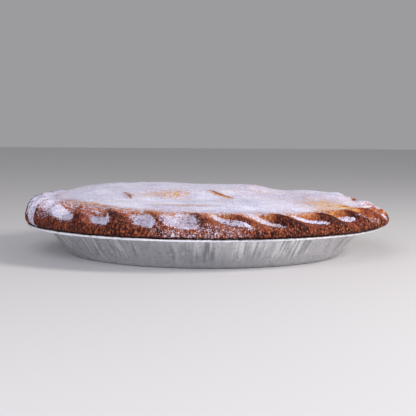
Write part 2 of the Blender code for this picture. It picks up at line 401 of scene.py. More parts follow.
def ring_faces(first, second):
    """Faces between two rings of point numbers, the shorter as long as the other, half, or one point."""
    if len(first) < len(second):
        return [face[::-1] for face in ring_faces(second, first)]
    count = len(first)
    faces = []
    for i in range(count):
        a = first[i]
        b = first[(i + 1) % count]
        if len(second) == 1:
            faces.append((a, b, second[0]))
        elif len(second) == count:
            faces.append((a, b, second[(i + 1) % count], second[i]))
        elif i % 2 == 0:
            faces.append((a, b, second[i // 2]))
        else:
            after = second[(i // 2 + 1) % len(second)]
            faces.append((a, b, after))
            faces.append((a, after, second[i // 2]))
    return faces


def closed_mesh(name, rings):
    """Closed mesh through a chain of rings that starts and ends in a single point, faces outwards."""
    starts = np.cumsum([0] + [len(ring) for ring in rings])
    numbers = [list(range(starts[i], starts[i + 1])) for i in range(len(rings))]
    faces = []
    for first, second in zip(numbers, numbers[1:]):
        faces += ring_faces(first, second)
    mesh = bpy.data.meshes.new(name)
    mesh.from_pydata(np.concatenate(rings).tolist(), [], faces)
    bm = bmesh.new()
    bm.from_mesh(mesh)
    bmesh.ops.recalc_face_normals(bm, faces=bm.faces)
    bm.to_mesh(mesh)
    bm.free()
    mesh.shade_smooth()
    piece = bpy.data.objects.new(name, mesh)
    bpy.context.scene.collection.objects.link(piece)
    return piece


def point_values(piece, name):
    """One attribute of a piece as an array."""
    values = np.empty(len(piece.data.vertices), dtype=np.float32)
    piece.data.attributes[name].data.foreach_get("value", values)
    return values


def point_places(piece):
    """Places of a piece's points as three arrays."""
    place = np.empty(len(piece.data.vertices) * 3, dtype=np.float32)
    piece.data.vertices.foreach_get("co", place)
    return place.reshape(-1, 3).T


def set_attribute(piece, name, values):
    """Stores one number for each point of a piece."""
    attribute = piece.data.attributes.new(name, "FLOAT", "POINT")
    attribute.data.foreach_set("value", np.asarray(values, dtype=np.float32))


def upward(piece):
    """How far each point's surface faces up, 1 for level."""
    normals = np.empty(len(piece.data.vertices) * 3, dtype=np.float32)
    piece.data.vertex_normals.foreach_get("vector", normals)
    return normals.reshape(-1, 3)[:, 2]


def settle(piece):
    """Turns the result of a piece's modifiers into its own mesh."""
    graph = bpy.context.evaluated_depsgraph_get()
    made = bpy.data.meshes.new_from_object(
        piece.evaluated_get(graph), preserve_all_data_layers=True, depsgraph=graph)
    piece.modifiers.clear()
    piece.data = made
    made.name = piece.name


def use_tree(piece, tree, values):
    """Adds a Geometry Nodes tree to a piece with its named inputs set."""
    modifier = piece.modifiers.new(tree.name, "NODES")
    modifier.node_group = tree
    for item in tree.interface.items_tree:
        if item.in_out == "INPUT" and item.name in values:
            modifier[item.identifier] = values[item.name]


def new_tree(name, inputs):
    """Geometry Nodes tree with a geometry in and out and named inputs of their kinds."""
    tree = bpy.data.node_groups.new(name, "GeometryNodeTree")
    tree.interface.new_socket("Geometry", in_out="OUTPUT", socket_type="NodeSocketGeometry")
    tree.interface.new_socket("Geometry", in_out="INPUT", socket_type="NodeSocketGeometry")
    for label, kind in inputs:
        tree.interface.new_socket(label, in_out="INPUT", socket_type="NodeSocket" + kind)
    return tree, tree.nodes.new("NodeGroupInput").outputs


def end_tree(tree, geometry, material):
    """Ends a tree: instances made real, and the material set."""
    real = add(tree, "GeometryNodeRealizeInstances", {0: geometry})
    coated = add(tree, "GeometryNodeSetMaterial", {"Geometry": real.outputs[0], "Material": material})
    add(tree, "NodeGroupOutput", {0: coated.outputs[0]})


# Baked relief of the crust

CRAG_SIZE = 3.0 * MM
CRAG_HEIGHT = 1.2 * MM
PIT_SIZE = 1.7 * MM
PIT_DEPTH = 1.0 * MM
PUFF_SIZE = 15.0 * MM
PUFF_HEIGHT = 0.9 * MM
RELIEF_STRETCH = (1.0, 1.0, 0.5)
RELIEF_SEED = 0.37


def layer(tree, place, size, levels, shape, texture="ShaderNodeTexNoise", ease="LINEAR"):
    """Pattern of one size over a place, brought from two of its own values to two others."""
    scaled = add(tree, "ShaderNodeVectorMath", {0: place, 1: size}, operation="DIVIDE").outputs[0]
    pattern = add(tree, texture, {"Vector": scaled, "Scale": 1.0, **shape}).outputs[0]
    ends = dict(zip(("From Min", "From Max", "To Min", "To Max"), levels))
    return add(tree, "ShaderNodeMapRange", {"Value": pattern, **ends},
               interpolation_type=ease).outputs[0]


def crust_relief_tree():
    """Roughens the crust along its normals: soft puffs on the lid, crags and pits on the edge."""
    tree, given = new_tree("baked_crust_relief", (
        ("Crag size", "Float"), ("Crag height", "Float"), ("Pit size", "Float"), ("Pit depth", "Float"),
        ("Puff size", "Float"), ("Puff height", "Float"), ("Seed", "Float"), ("Material", "Material")))
    craggy, puffy = [
        add(tree, "GeometryNodeInputNamedAttribute", {"Name": name}, data_type="FLOAT").outputs[0]
        for name in ("craggy", "puffy")]
    place = add(tree, "GeometryNodeInputPosition").outputs[0]
    moved = add(tree, "ShaderNodeVectorMath", {0: place, 1: given["Seed"]}, operation="ADD").outputs[0]
    tall = add(tree, "ShaderNodeVectorMath", {0: moved, 1: RELIEF_STRETCH},
               operation="MULTIPLY").outputs[0]
    crags = layer(tree, tall, given["Crag size"], (0.25, 0.75, -0.5, 0.5),
                  {"Detail": 3.0, "Roughness": 0.62})
    pits = layer(tree, tall, given["Pit size"], (0.05, 0.5, -1.0, 0.15),
                 {"Randomness": 1.0}, "ShaderNodeTexVoronoi", "SMOOTHSTEP")
    puffs = layer(tree, moved, given["Puff size"], (0.25, 0.75, -0.5, 0.5),
                  {"Detail": 2.0, "Roughness": 0.45})
    crag_out, pit_out, puff_out = [
        add(tree, "ShaderNodeMath", {0: level, 1: given[height]}, operation="MULTIPLY").outputs[0]
        for level, height in ((crags, "Crag height"), (pits, "Pit depth"), (puffs, "Puff height"))]

    rough = add(tree, "ShaderNodeMath", {0: crag_out, 1: pit_out}, operation="ADD").outputs[0]
    rough_here = add(tree, "ShaderNodeMath", {0: rough, 1: craggy}, operation="MULTIPLY").outputs[0]
    amount = add(tree, "ShaderNodeMath", {0: puff_out, 1: puffy, 2: rough_here},
                 operation="MULTIPLY_ADD").outputs[0]
    normal = add(tree, "GeometryNodeInputNormal").outputs[0]
    offset = add(tree, "ShaderNodeVectorMath", {0: normal, "Scale": amount},
                 operation="SCALE").outputs[0]
    shifted = add(tree, "GeometryNodeSetPosition", {"Geometry": given["Geometry"], "Offset": offset})
    depth = add(tree, "GeometryNodeStoreNamedAttribute", {
        "Geometry": shifted.outputs[0], "Name": "relief", "Value": rough_here},
        data_type="FLOAT", domain="POINT")
    end_tree(tree, depth.outputs[0], given["Material"])
    return tree


# Browning of the crust, 0 pale gold to 1 almost black, sugar, 0 none to 1 thick, and crags. Names that
# end in LEFT, RIGHT, FRONT or END are changes with the angle round the pie, in radians from the
# front with the right positive; those in DOWN with t; those in OUT with the share of the lid's
# radius; those in UP with how far the surface faces up. Three numbers are an amount and the two
# values between which it comes in, and two numbers those two values alone.
LOW_BAND_DOWN = (0.58, 0.76)
ON_LEFT = (-0.3, -0.6)
UPPER_BROWN = 0.33
UPPER_BROWN_ON_LEFT = 0.07
UPPER_BROWN_DOWN = (0.15, 0.10, 0.45)
UPPER_BROWN_RIDGE = 0.28
PALE_RIGHT_END = (0.12, 0.95, 1.15)
PALE_UNTIL_END = (2.2, 1.9)
LEFT_BROWN_DOWN = (0.20, 0.48, 0.60)
LEFT_BROWN_END = (-0.80, -0.95)
LOWER_BROWN = 0.56
# Painted shade: the lower band darker on the left, away from the key light
LOWER_SHADE_LEFT = (0.12, -0.2, -0.7)
LOWER_BROWN_RIDGE = 0.10
# Painted shade: the foot darker towards the gap over the plate's bead
FOOT_SHADE_DOWN = (0.45, 0.92, 1.0)
LID_BROWN = 0.20
LID_BROWN_OUT = (0.10, 0.90, 1.0)
LID_BROWN_FRONT = (0.9, 0.5)
THIN_SUGAR_PALER = 0.25
# Painted shade: the underside, in the gap over the plate, nearly black
UNDER_SHADE = 0.95

WALL_SUGAR = 0.45
WALL_SUGAR_LESS_ON_LEFT = 0.22
# The t between which the wall's sugar thins out, each with how much larger it is on the left
WALL_UNTIL = ((0.0, 0.10), (0.30, 0.14))
DUSTING = 0.10
DUSTING_LEFT = (0.12, -0.3, -0.7)
DUSTING_UP = (0.3, 0.9)
LEFT_SUGAR_END = (0.32, -0.92, -1.15)
LEFT_SUGAR_DOWN = (0.46, 0.60)
FAR_SUGAR = 0.58
FAR_SUGAR_END = (0.95, 1.30)
FAR_SUGAR_LESS_END = (0.6, 1.8, 2.3)
FAR_SUGAR_UP = (0.25, 0.70)
# Share that the dark ridges lose of the wall's sugar, the dusting, the left end's and the far side's
RIDGE_LOSSES = (0.6, 0.8, 0.7, 0.3)
# Sugar spilt down the front: amount, angle of its middle, half its width, where it starts and stops
SPILT = 0.25
SPILT_AT = -0.02
SPILT_HALF = 0.25
SPILT_STARTS_DOWN = (0.50, 0.64)
SPILT_STOPS_DOWN = (0.90, 0.97)

LID_SUGAR = 0.94
SLOPE_LOSS = 3.0
SLOPE_WITHOUT_LOSS = 0.03
LEFT_BAND_OUT = (0.40, 0.915, 0.985)
LEFT_BAND_END = (-1.15, -1.0)
LEFT_BAND_LEFT = (-0.45, -0.65)
RIM_LOSS_OUT = (0.30, 0.965, 1.0)
RIM_LOSS_FRONT = (1.0, 0.6)
RIM_LOSS_LESS_END = (0.5, -1.0, -1.2)
FRONT_LOSS_OUT = (0.22, 0.86, 0.97)
FRONT_LOSS_FRONT = (0.75, 0.50)
THIN_SUGAR_ON_CRIMP = 0.5

CRAGS_START_DOWN = (0.0, 0.25)
CRAGS_STOP_DOWN = (0.93, 1.0)
CRAGS_LEAST = 0.30
CRAGS_LESS_RIGHT = (0.5, 0.30, 0.60)
CRAGS_LESS_LEFT = (0.35, -0.2, -0.7)
CRAGS_UNDER_SUGAR = 0.75
CRAGS_IN_THIN_SUGAR = 1.1

# Dark browning past a crest: how far it reaches back, the t by which it lags there, and how it comes in
RIDGE_BACK = 0.12
RIDGE_BACK_SHARE = 0.75
RIDGE_LAG = (0.20, 0.0, -0.22)
RIDGE_COMES_IN = 0.18
# Sugar in the hollows: squareness of the ovals, and softness of their edge ahead and behind
OVAL_POWER = 2.6
OVAL_SOFT_AHEAD = 0.22
OVAL_SOFT_BEHIND = 0.44


def drawn_for_all(in_sight, limits, seed):
    """Values for every crimp: those in sight as given, the hidden ones drawn between two limits."""
    draw = random.Random(seed)
    hidden = [[draw.uniform(low, high) for low, high in zip(*limits)]
              for _ in range(CRIMP_COUNT - len(in_sight))]
    return np.array([list(values) for values in in_sight] + hidden)


def dark_ridge(crimp, phase, t):
    """Dark browning of the ridges, most on each crest below the lid's edge."""
    ridges = drawn_for_all(DARK_RIDGES, HIDDEN_DARK_RIDGES, CRIMP_SEED + 3)
    off_crest = (phase + 0.5) % 1.0 - 0.5
    nearest = np.round(crimp + phase).astype(int) % CRIMP_COUNT
    reach, strength, begins = ridges[nearest].T
    half = np.where(off_crest < 0, RIDGE_BACK + RIDGE_BACK_SHARE * reach, reach)
    golden_until = begins + share_of(RIDGE_LAG, off_crest)
    dark_here = smooth(golden_until, golden_until + RIDGE_COMES_IN, t)
    return strength * np.exp(-(off_crest / half) ** 2) * dark_here


def hollow_sugar(crimp, phase, t):
    """Sugar in the hollows: a slanting oval in phase and t for each crimp."""
    ovals = drawn_for_all(HOLLOW_SUGAR, HIDDEN_SUGAR, CRIMP_SEED + 2)
    depth = np.zeros(len(t))
    for beside in (-1, 0, 1):
        middle, level, lean, half_width, half_length, most = ovals[(crimp + beside) % CRIMP_COUNT].T
        up_down = (t - level) / half_length
        across = (phase - beside - middle - lean * (t - level)) / half_width
        reach = (np.abs(across) ** OVAL_POWER + np.abs(up_down) ** OVAL_POWER) ** (1 / OVAL_POWER)
        softness = np.where(across > 0, OVAL_SOFT_AHEAD, OVAL_SOFT_BEHIND)
        depth = np.maximum(depth, most * (1 - smooth(1 - softness, 1 + softness, reach)))
    return depth


def crimp_browning_and_shade(angle, t, ridge, low_band):
    """Browning of the crimped edge: golden above, brown below and on the ridges, with painted shade at
    the foot and low on the left.
    """
    upper = UPPER_BROWN + UPPER_BROWN_ON_LEFT * smooth(*ON_LEFT, angle) + share_of(UPPER_BROWN_DOWN, t)
    upper = upper + UPPER_BROWN_RIDGE * ridge
    upper = upper - share_of(PALE_RIGHT_END, angle) * smooth(*PALE_UNTIL_END, angle)
    upper = upper + share_of(LEFT_BROWN_DOWN, t) * smooth(*LEFT_BROWN_END, angle)
    lower = LOWER_BROWN + share_of(LOWER_SHADE_LEFT, angle) + LOWER_BROWN_RIDGE * ridge
    return upper + (lower - upper) * low_band + share_of(FOOT_SHADE_DOWN, t)


def spilt_sugar(angle, t):
    """Sugar spilt down the front of the edge."""
    across = SPILT * np.exp(-((angle - SPILT_AT) / SPILT_HALF) ** 6)
    return across * smooth(*SPILT_STARTS_DOWN, t) * (1 - smooth(*SPILT_STOPS_DOWN, t))


def crimp_sugar(crimp, phase, t, angle, up, ridge):
    """Sugar of the crimped edge: thick in the hollows, thin on the golden wall behind them."""
    on_wall, on_dusting, on_left_end, on_far_side = [1 - loss * ridge for loss in RIDGE_LOSSES]
    on_left = smooth(*ON_LEFT, angle)
    thins_from, thins_to = [level + more * on_left for level, more in WALL_UNTIL]
    wall_part = 1 - smooth(thins_from, thins_to, t)
    back_wall = (WALL_SUGAR - WALL_SUGAR_LESS_ON_LEFT * on_left) * wall_part * on_wall
    dusted = (DUSTING + share_of(DUSTING_LEFT, angle)) * smooth(*DUSTING_UP, up) * on_dusting
    left_end = share_of(LEFT_SUGAR_END, angle) * (1 - smooth(*LEFT_SUGAR_DOWN, t)) * on_left_end
    round_to = np.abs(angle)
    ends = smooth(*FAR_SUGAR_END, round_to) * (1 - share_of(FAR_SUGAR_LESS_END, round_to))
    far_side = FAR_SUGAR * ends * smooth(*FAR_SUGAR_UP, up) * on_far_side
    return np.maximum.reduce([hollow_sugar(crimp, phase, t), back_wall + dusted, left_end + dusted,
                              far_side + dusted, spilt_sugar(angle, t)])


def lid_sugar(x, y, rim, angle, up, thin):
    """Sugar of the lid: thick, but less on slopes, along the edge, in thin places and at the slits."""
    slope_loss = SLOPE_LOSS * np.maximum(0.0, (1 - up) - SLOPE_WITHOUT_LOSS)
    left_band = share_of(LEFT_BAND_OUT, rim) * smooth(*LEFT_BAND_END, angle)
    left_band = left_band * smooth(*LEFT_BAND_LEFT, angle)
    less_end = 1 - share_of(RIM_LOSS_LESS_END, angle)
    rim_loss = share_of(RIM_LOSS_OUT, rim) * smooth(*RIM_LOSS_FRONT, angle) * less_end
    front_loss = share_of(FRONT_LOSS_OUT, rim) * smooth(*FRONT_LOSS_FRONT, angle)
    edge_loss = np.maximum(left_band, rim_loss)
    return LID_SUGAR - thin - slope_loss - edge_loss - front_loss - beside_cuts(x, y, SLIT_BARENESS)


def crimp_crags(angle, t, ridge, low_band, sugar):
    """Crags of the crimped edge: most on the dark ridges and low down, few under thick sugar."""
    crags = smooth(*CRAGS_START_DOWN, t) * (1 - smooth(*CRAGS_STOP_DOWN, t))
    crags = crags * (CRAGS_LEAST + (1 - CRAGS_LEAST) * np.maximum(ridge, low_band))
    crags = crags * (1 - share_of(CRAGS_LESS_RIGHT, angle) * (1 - low_band))
    crags = crags * (1 - share_of(CRAGS_LESS_LEFT, angle))
    return crags * (1 - CRAGS_UNDER_SUGAR * sugar) * (1 - spilt_sugar(angle, t))


def crust_attributes(piece, part_of, crimp, phase, t):
    """Browning, sugar and roughness of every point of the crust, from where it lies and how it faces."""
    x, y, _ = point_places(piece)
    up = upward(piece)
    on_lid, on_crimp, under = [part_of == part for part in range(3)]
    rim = np.hypot(x, y) / LID_R
    angle = np.arctan2(x, -y)
    low_band = smooth(*LOW_BAND_DOWN, t)
    ridge = dark_ridge(crimp, phase, t)
    thin = sum(missing * np.exp(-reach_of(x, y, spot) ** 3) for *spot, missing in THIN_SUGAR)

    lid_brown = LID_BROWN + share_of(LID_BROWN_OUT, rim) * smooth(*LID_BROWN_FRONT, angle)
    edge_brown_and_shade = crimp_browning_and_shade(angle, t, ridge, low_band)
    brown = np.where(on_crimp, edge_brown_and_shade, lid_brown - THIN_SUGAR_PALER * thin)
    # The underside takes painted shade in place of browning
    brown = np.where(under, UNDER_SHADE, np.clip(brown, 0.0, 1.0))
    edge_sugar = crimp_sugar(crimp, phase, t, angle, up, ridge) - thin * THIN_SUGAR_ON_CRIMP
    sugar = np.where(on_crimp, edge_sugar, lid_sugar(x, y, rim, angle, up, thin))
    sugar = np.where(under, 0.0, np.clip(sugar, 0.0, 1.0))
    craggy = np.where(on_crimp, crimp_crags(angle, t, ridge, low_band, sugar), 0.0)
    craggy = craggy + np.where(under, 0.0, CRAGS_IN_THIN_SUGAR * thin ** 2)
    puffy = np.where(on_lid, 1 - rim ** EDGE_FADE_POWER, 0.0)
    set_attribute(piece, "sugar", sugar)
    set_attribute(piece, "brown", brown)
    set_attribute(piece, "craggy", craggy)
    set_attribute(piece, "puffy", np.clip(puffy, 0.0, 1.0))


def make_slit_cutter():
    """Wedges along the slits and the gash, narrower at their floor."""
    bm = bmesh.new()
    for slit in CUTS:
        middle, side, swell = slit_stations(slit)
        surface = lid_height(middle[:, 0], middle[:, 1])
        loops = []
        for (x, y), z, share in zip(middle, surface, np.maximum(swell, SLIT_TIP_SHARE)):
            half = 0.5 * SLIT_WIDTH * share
            floor_half = half * SLIT_FLOOR_SHARE
            corners = ((-half, SLIT_CLEAR_ABOVE), (-floor_half, -SLIT_DEPTH * share),
                       (floor_half, -SLIT_DEPTH * share), (half, SLIT_CLEAR_ABOVE))
            loops.append([bm.verts.new((x + side[0] * w, y + side[1] * w, z + h)) for w, h in corners])
        for first, second in zip(loops, loops[1:]):
            for i in range(4):
                bm.faces.new((first[i], first[(i + 1) % 4], second[(i + 1) % 4], second[i]))
        bm.faces.new(loops[0])
        bm.faces.new(reversed(loops[-1]))
    bmesh.ops.triangulate(bm, faces=bm.faces)
    bmesh.ops.recalc_face_normals(bm, faces=bm.faces)
    mesh = bpy.data.meshes.new("slit_cutter")
    bm.to_mesh(mesh)
    bm.free()
    cutter = bpy.data.objects.new("slit_cutter", mesh)
    bpy.context.scene.collection.objects.link(cutter)
    return cutter


def brown_and_shade_slits(crust):
    """Browning and sugar on the cut faces, which the cut itself leaves without values, with painted
    shade deeper in.
    """
    x, y, z = point_places(crust)
    sugar = point_values(crust, "sugar")
    brown = point_values(crust, "brown")
    depth = lid_height(x, y) - z
    for cut, missing in zip(CUTS, SLIT_BARENESS):
        middle, _, swell = slit_stations(cut)
        away = np.hypot(x[:, None] - middle[:, 0], y[:, None] - middle[:, 1])
        inside = (away < 0.5 * SLIT_WIDTH * (swell + SLIT_TIP_SHARE) + SLIT_EDGE).any(axis=1)
        sugar = np.where(inside, SLIT_INNER_SUGAR * (1 - missing), sugar)
        # Painted shade: the cut faces browner the deeper they lie
        brown = np.where(inside, SLIT_INNER_BROWN + share_of(SLIT_DEPTH_SHADE, depth), brown)
    for name, values in (("sugar", sugar), ("brown", brown)):
        crust.data.attributes[name].data.foreach_set("value", values.astype(np.float32))


def make_crust(material):
    """The whole pie: lid, crimped edge and underside, as one closed mesh."""
    lid = lid_rings()
    crimp_levels = np.linspace(0.0, 1.0, CRIMP_ROWS + 1)
    crimps = [crimp_ring(t) for t in crimp_levels]
    under = under_rings()
    pole = np.array([[0.0, 0.0, lid_height(np.zeros(1), np.zeros(1))[0]]])
    floor_centre = np.array([[0.0, 0.0, PLATE_SHEET + PIE_GAP]])
    rings = [pole] + lid[::-1] + crimps + under + [floor_centre]
    crust = closed_mesh("pie_crust", rings)
    crimp, phase = columns()
    lid_points = 1 + sum(len(ring) for ring in lid)
    under_points = 1 + sum(len(ring) for ring in under)
    crimp_points = len(crimps) * len(phase)
    part_of = np.repeat([0, 1, 2], [lid_points, crimp_points, under_points])
    t = np.concatenate([
        np.zeros(lid_points), np.repeat(crimp_levels, len(phase)), np.ones(under_points)])
    crimp = np.pad(np.tile(crimp, len(crimps)), (lid_points, under_points))
    phase = np.pad(np.tile(phase, len(crimps)), (lid_points, under_points))
    crust_attributes(crust, part_of, crimp, phase, t)
    use_tree(crust, crust_relief_tree(), {
        "Crag size": CRAG_SIZE, "Crag height": CRAG_HEIGHT, "Pit size": PIT_SIZE, "Pit depth": PIT_DEPTH,
        "Puff size": PUFF_SIZE, "Puff height": PUFF_HEIGHT, "Seed": RELIEF_SEED, "Material": material})
    settle(crust)
    cutter = make_slit_cutter()
    # Cut between three-sided faces, which leaves no doubled faces at the slits
    crust.modifiers.new("three_sided", "TRIANGULATE")
    cut = crust.modifiers.new("steam_slits", "BOOLEAN")
    cut.operation = "DIFFERENCE"
    cut.solver = "MANIFOLD"
    cut.object = cutter
    settle(crust)
    bpy.data.objects.remove(cutter)
    brown_and_shade_slits(crust)
    crust.data.shade_smooth()
    return crust


# Materials

# Baked shortcrust, pale gold to almost black, and the sizes of what shows in it
BROWNING = ((0.0, "#e6bd80"), (0.20, "#cf9659"), (0.40, "#a9663b"),
            (0.60, "#863f28"), (0.80, "#5e291c"), (1.0, "#32140e"))
CRUMB_SIZE = 1.15 * MM
CRUMB_STRETCH = (1.0, 1.0, 0.62)
CRUMB_BUMP = 0.7 * MM
PATCH_SIZE = 6 * MM
FLECK_SIZE = 1.5 * MM
# Painted shade: browning added for each metre of relief sunk in, and taken off where crags stand up
PIT_SHADE_PER_DEPTH = -0.20 / MM
# Icing sugar: real grains are far too fine to show, so its specks are drawn 0.9 mm across
SUGAR_IN_SHADE = "#b9b7d5"
SUGAR_THICK = "#ecebfc"
SUGAR_FILM = "#dcae8c"
SPECK_SIZE = 0.9 * MM
DRIFT_SIZE = 3 * MM
STREAK_SIZE = 2.2 * MM
STREAK_STRETCH = (0.28, 1.0, 1.0)
CLUMP_SIZE = 1.3 * MM
CLOUD_SIZE = 14 * MM
FILM_SIZE = 6 * MM
FINE_BUMP = 0.30 * MM
# Foil with painted shade in its creases and painted light on their crests, the sugar on its bead, and
# sugar crystals
FOIL_CREASE_SHADE = "#a2a2a7"
FOIL_CREST_LIGHT = "#f2f2f4"
FOIL_DUST = "#f6f4fc"
CRINKLE_SIZE = 4 * MM
CRINKLE_BUMP = 0.5 * MM
DUST_SIZE = 1.4 * MM
CRYSTAL_DARK = "#cfc6d2"
CRYSTAL_LIGHT = "#ece7ef"
CRYSTAL_PATCH = 1.2 * MM


def mottling(tree, place, size, detail, low, high):
    """Cloudy pattern of one size, mostly between two values."""
    cloud = add(tree, "ShaderNodeTexNoise", {
        "Vector": place, "Scale": 1 / size, "Detail": detail, "Roughness": 0.65})
    return add(tree, "ShaderNodeMapRange", {
        "Value": cloud.outputs[0], "From Min": 0.3, "From Max": 0.7,
        "To Min": low, "To Max": high}).outputs[0]


def total(tree, *terms):
    """Sum of several values."""
    result = terms[0]
    for term in terms[1:]:
        result = add(tree, "ShaderNodeMath", {0: result, 1: term}, operation="ADD").outputs[0]
    return result


def new_material(name):
    """New material with its node tree and its shader."""
    material = bpy.data.materials.new(name)
    material.use_nodes = True
    return material, material.node_tree, material.node_tree.nodes["Principled BSDF"]


def crust_material():
    """Baked shortcrust under icing sugar: matt, crumbly, dark brown on the crimps, gold by the lid."""
    material, tree, shader = new_material("sugared_shortcrust")
    place = add(tree, "ShaderNodeTexCoord").outputs["Object"]
    sugar, brown, relief, craggy = [
        add(tree, "ShaderNodeAttribute", attribute_name=name).outputs["Fac"]
        for name in ("sugar", "brown", "relief", "craggy")]

    # Pastry: browned in patches and flecks, with painted shade in the pits and the gaps between upright
    # crumbs, and the crumbs' tops painted a little lighter
    tall = add(tree, "ShaderNodeVectorMath", {0: place, 1: CRUMB_STRETCH},
               operation="MULTIPLY").outputs[0]
    crumbs = add(tree, "ShaderNodeTexVoronoi", {"Vector": tall, "Scale": 1 / CRUMB_SIZE}, feature="F1")
    # Painted shade in the gaps between crumbs, and the crumbs' tops a little lighter
    gap = add(tree, "ShaderNodeMapRange", {
        "Value": crumbs.outputs["Distance"], "From Min": 0.30, "From Max": 0.75,
        "To Min": -0.12, "To Max": 0.45}).outputs[0]
    crumb_gap_shade = add(tree, "ShaderNodeMath", {0: gap, 1: craggy}, operation="MULTIPLY").outputs[0]
    # Painted shade in sunk places, painted light on raised crags
    pit_shade = add(tree, "ShaderNodeMath", {0: relief, 1: PIT_SHADE_PER_DEPTH}, operation="MULTIPLY").outputs[0]
    patches = mottling(tree, place, PATCH_SIZE, 4.0, -0.12, 0.12)
    flecks = mottling(tree, tall, FLECK_SIZE, 3.0, -0.15, 0.15)
    ramp = add(tree, "ShaderNodeValToRGB", {"Fac": total(tree, brown, patches, flecks, pit_shade, crumb_gap_shade)})
    colours = ramp.color_ramp.elements
    for i, (position, code) in enumerate(BROWNING):
        stop = colours[i] if i < 2 else colours.new(position)
        stop.position = position
        stop.color = srgb(code)

    # Icing sugar: where it thins out it breaks up into specks, in streaks across the lid
    stretched = add(tree, "ShaderNodeVectorMath", {0: place, 1: STREAK_STRETCH},
                    operation="MULTIPLY").outputs[0]
    specks = mottling(tree, place, SPECK_SIZE, 2.0, 0.0, 0.84)
    drift = mottling(tree, place, DRIFT_SIZE, 3.0, -0.20, 0.20)
    streaks = mottling(tree, stretched, STREAK_SIZE, 3.0, -0.12, 0.12)
    needed = total(tree, specks, drift, streaks)
    over = add(tree, "ShaderNodeMath", {0: sugar, 1: needed}, operation="SUBTRACT").outputs[0]
    present = add(tree, "ShaderNodeMapRange", {
        "Value": sugar, "From Min": 0.04, "From Max": 0.18}).outputs[0]
    cover = add(tree, "ShaderNodeMapRange", {
        "Value": over, "From Min": -0.15, "From Max": 0.26, "To Min": 0.0, "To Max": present},
        interpolation_type="SMOOTHSTEP").outputs[0]

    # Its tone: clouds and clumps, whiter where it lies thick, and a warm film where pastry shows through
    clumps = mottling(tree, place, CLUMP_SIZE, 3.0, -0.60, 0.60)
    cloud = total(tree, mottling(tree, place, CLOUD_SIZE, 3.0, 0.25, 0.95), clumps)
    thickness = add(tree, "ShaderNodeMapRange", {
        "Value": sugar, "From Min": 0.55, "From Max": 0.95,
        "To Min": -0.30, "To Max": 0.10}).outputs[0]
    tone = add(tree, "ShaderNodeMix", {
        "Factor": total(tree, cloud, thickness), 6: srgb(SUGAR_IN_SHADE), 7: srgb(SUGAR_THICK)},
        data_type="RGBA")
    film = mottling(tree, stretched, FILM_SIZE, 3.0, -0.25, 0.30)
    tinted = add(tree, "ShaderNodeMix", {"Factor": film, 6: tone.outputs[2], 7: srgb(SUGAR_FILM)},
                 data_type="RGBA")
    coat = add(tree, "ShaderNodeMix", {"Factor": cover, 6: ramp.outputs[0], 7: tinted.outputs[2]},
               data_type="RGBA")
    tree.links.new(coat.outputs[2], shader.inputs["Base Color"])

    crumb_depth = add(tree, "ShaderNodeMath", {0: crumbs.outputs["Distance"], 1: craggy},
                      operation="MULTIPLY").outputs[0]
    crumb_bump = add(tree, "ShaderNodeBump", {
        "Height": crumb_depth, "Strength": 0.9, "Distance": -CRUMB_BUMP})
    clumps_here = add(tree, "ShaderNodeMath", {0: clumps, 1: cover}, operation="MULTIPLY").outputs[0]
    fine_bump = add(tree, "ShaderNodeBump", {
        "Height": total(tree, flecks, specks, clumps_here), "Strength": 0.55, "Distance": FINE_BUMP,
        "Normal": crumb_bump.outputs[0]})
    tree.links.new(fine_bump.outputs[0], shader.inputs["Normal"])
    shader.inputs["Roughness"].default_value = 0.85
    shader.inputs["Specular IOR Level"].default_value = 0.25
    return material


def grain_material():
    """Sugar crystals: small and white, with a soft shine."""
    material, tree, shader = new_material("sugar_crystal")
    place = add(tree, "ShaderNodeTexCoord").outputs["Object"]
    level = mottling(tree, place, CRYSTAL_PATCH, 1.0, 0.0, 1.0)
    tone = add(tree, "ShaderNodeMix", {"Factor": level, 6: srgb(CRYSTAL_DARK), 7: srgb(CRYSTAL_LIGHT)},
               data_type="RGBA")
    tree.links.new(tone.outputs[2], shader.inputs["Base Color"])
    shader.inputs["Roughness"].default_value = 0.5
    return material


